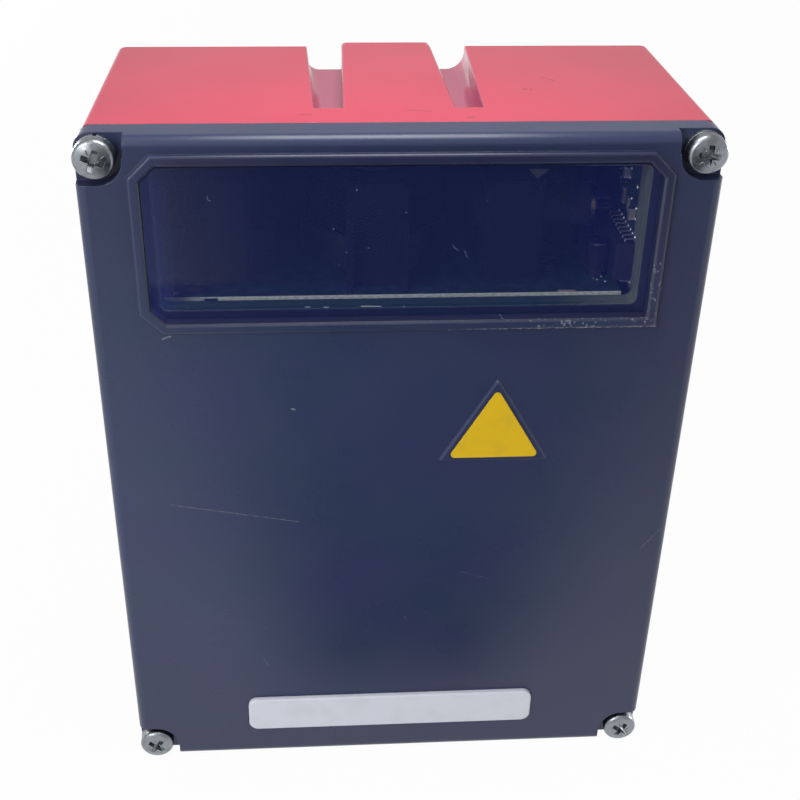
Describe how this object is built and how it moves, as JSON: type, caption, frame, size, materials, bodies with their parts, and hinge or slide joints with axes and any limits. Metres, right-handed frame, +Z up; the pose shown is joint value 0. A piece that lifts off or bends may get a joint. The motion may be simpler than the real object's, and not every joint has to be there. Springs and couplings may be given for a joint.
{
  "type": "industrial barcode reader",
  "caption": "Line-scanning barcode reader: red cast box with clamp grooves, navy screwed cover, wide dark window, spinning mirror wheel inside and a keyed plug in its floor.",
  "frame": {"origin": "middle of the reader's bounding box, on the plane it stands on", "axes": "+X to the right seen from the front, +Y from the window to the rear rail, +Z up"},
  "size_m": [0.12, 0.062, 0.1564],
  "materials": {
    "red_paint": "gloss paint over die-cast aluminium",
    "navy_paint": "satin paint over die-cast aluminium",
    "tinted_glass": "polished, dark tinted",
    "zinc_steel": "dulled zinc plate",
    "plate_white": "smooth, slightly soiled",
    "yellow_film": "printed film",
    "seal_rubber": "moulded",
    "chassis_metal": "dark green passivated",
    "holder_black": "black anodised",
    "board": "solder mask over glass laminate",
    "inner_steel": "turned, blackened",
    "stator_iron": "stacked sheet",
    "coil_wire": "enamelled wire",
    "magnet": "sintered",
    "mirror": "polished facets",
    "barrel_brass": "turned",
    "lens_glass": "polished",
    "chip_black": "moulded",
    "part_grey": "fired",
    "tinned": "tin plate",
    "pin_gold": "gold plate",
    "can_sleeve": "shrunk sleeve",
    "cable_grey": "ribbed"
  },
  "bodies": {
    "reader": {"rear_housing": "red_paint", "front_cover": "navy_paint", "window_pane": "tinted_glass", "cover_screws": "zinc_steel", "spring_washers": "zinc_steel", "name_plate": "plate_white", "triangle_inlay": "yellow_film", "cover_gasket": "seal_rubber", "window_bond": "seal_rubber", "optics_chassis": "chassis_metal", "laser_holder": "holder_black", "receiver_holder": "holder_black", "laser_barrel": "holder_black", "beam_partition": "holder_black", "deck_screws": "holder_black", "deck_board": "board", "side_board": "board", "receiver_board": "board", "main_board": "board", "connector_board": "board", "laser_diode": "inner_steel", "chassis_screws": "inner_steel", "side_board_screws": "inner_steel", "main_board_screws": "inner_steel", "bearing_housing": "inner_steel", "spindle_bearings": "inner_steel", "stator_core": "stator_iron", "stator_coils": "coil_wire", "barrel_ring": "barrel_brass", "laser_lens": "lens_glass", "receiver_lens": "lens_glass", "photodiode": "chip_black", "side_chip": "chip_black", "link_header": "chip_black", "deck_header": "chip_black", "processor_chip": "chip_black", "memory_chips": "chip_black", "power_module": "chip_black", "main_headers": "chip_black", "connector_insert": "chip_black", "board_header": "chip_black", "side_parts": "part_grey", "side_chip_leads": "tinned", "connector_shell": "tinned", "jack_posts": "tinned", "connector_pins": "pin_gold", "deck_capacitors": "can_sleeve", "main_capacitors": "can_sleeve", "interface_cable": "cable_grey", "optics_cable": "cable_grey"},
    "rotor": {"rotor_cup": "inner_steel", "magnet_ring": "magnet", "rotor_shaft": "inner_steel", "retaining_ring": "inner_steel", "polygon_mirror": "mirror", "mirror_clip": "holder_black"}
  },
  "joints": [
    {"name": "mirror_wheel_spin", "type": "hinge", "parent": "reader", "child": "rotor", "pos_m": [-0.004, 0.0019, 0.1335], "axis": [0, 0, 1], "continuous": true}
  ]
}
